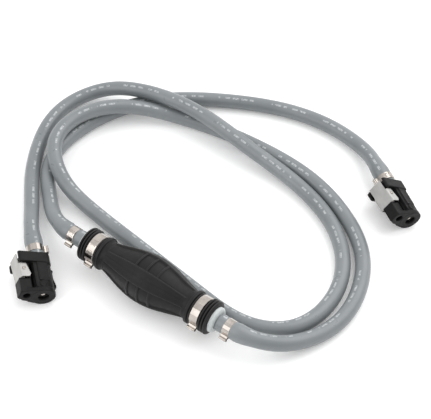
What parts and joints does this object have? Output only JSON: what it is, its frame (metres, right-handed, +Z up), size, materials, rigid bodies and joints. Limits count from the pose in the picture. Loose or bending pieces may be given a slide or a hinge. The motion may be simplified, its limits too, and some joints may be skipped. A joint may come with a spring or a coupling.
{
  "type": "outboard fuel line with primer bulb",
  "caption": "Flexible grey hose laid in open loops, with an oval ribbed primer bulb near one end and a latching quick connector on each free end.",
  "frame": {"origin": "middle of the bottom of the box round the bulb, its valves and clamps and the two connectors, on the surface that they lie on", "axes": "+Z up from that surface; +X from the left connector to the right one, the longest extent of the rigid pieces; +Y away from the connectors' coupling faces, towards the loops of hose"},
  "size_m": [0.4184, 0.3611, 0.051],
  "materials": {
    "hose": "smooth semi-gloss grey fuel hose",
    "bulb": "satin black moulded rubber",
    "housing": "satin black moulded nylon",
    "steel": "bright stainless strip, wire and rod",
    "latch": "stamped, lightly brushed stainless",
    "brass": "turned brass",
    "seal": "matt black fuel-proof rubber",
    "valve": "natural white, slightly translucent acetal"
  },
  "bodies": {
    "root": {"primer_bulb": "bulb", "hose_long": "hose", "hose_short": "hose", "inlet_valve_body": "valve", "inlet_valve_cage": "valve", "inlet_spring": "steel", "inlet_bulb_clamp": "steel", "inlet_hose_clamp": "steel", "outlet_valve_body": "valve", "outlet_valve_seat": "valve", "outlet_spring": "steel", "outlet_bulb_clamp": "steel", "outlet_hose_clamp": "steel", "left_housing": "housing", "left_port_seal": "seal", "left_plunger_spring": "steel", "left_hose_barb": "brass", "left_latch_pin": "steel", "left_latch_spring": "steel", "left_hose_clamp": "steel", "right_housing": "housing", "right_port_seal": "seal", "right_plunger_spring": "steel", "right_hose_barb": "brass", "right_latch_pin": "steel", "right_latch_spring": "steel", "right_hose_clamp": "steel"},
    "left_latch": {"left_latch_lever": "latch"},
    "left_plunger": {"left_valve_plunger": "steel"},
    "right_latch": {"right_latch_lever": "latch"},
    "right_plunger": {"right_valve_plunger": "steel"},
    "inlet_valve": {"inlet_poppet": "valve"},
    "outlet_valve": {"outlet_poppet": "valve"}
  },
  "joints": [
    {"name": "left_latch_press", "type": "hinge", "parent": "root", "child": "left_latch", "pos_m": [-0.19618, -0.02684, 0.02259], "axis": [-0.4288, -0.0373, -0.9026], "range_deg": [0, 7], "stiffness_Nm_per_rad": 0.3, "springref_deg": -5.73, "deforming": ["left_latch_spring"]},
    {"name": "left_plunger_push", "type": "slide", "parent": "root", "child": "left_plunger", "axis": [-0.2312, 0.9704, 0.0698], "range_m": [0, 0.0035], "stiffness_N_per_m": 300, "springref_m": -0.002, "deforming": ["left_plunger_spring"]},
    {"name": "right_latch_press", "type": "hinge", "parent": "root", "child": "right_latch", "pos_m": [0.17304, 0.06732, 0.02567], "axis": [-0.5611, -0.17, -0.8101], "range_deg": [0, 7], "stiffness_Nm_per_rad": 0.3, "springref_deg": -5.73, "deforming": ["right_latch_spring"]},
    {"name": "right_plunger_push", "type": "slide", "parent": "root", "child": "right_plunger", "axis": [-0.3801, 0.9223, 0.0698], "range_m": [0, 0.0035], "stiffness_N_per_m": 300, "springref_m": -0.002, "deforming": ["right_plunger_spring"]},
    {"name": "inlet_valve_lift", "type": "slide", "parent": "root", "child": "inlet_valve", "axis": [0.8085, -0.5885, 0], "range_m": [0, 0.0018], "stiffness_N_per_m": 60, "springref_m": -0.001, "deforming": ["inlet_spring"]},
    {"name": "outlet_valve_lift", "type": "slide", "parent": "root", "child": "outlet_valve", "axis": [0.8085, -0.5885, 0], "range_m": [0, 0.0018], "stiffness_N_per_m": 60, "springref_m": -0.001, "deforming": ["outlet_spring"]}
  ]
}
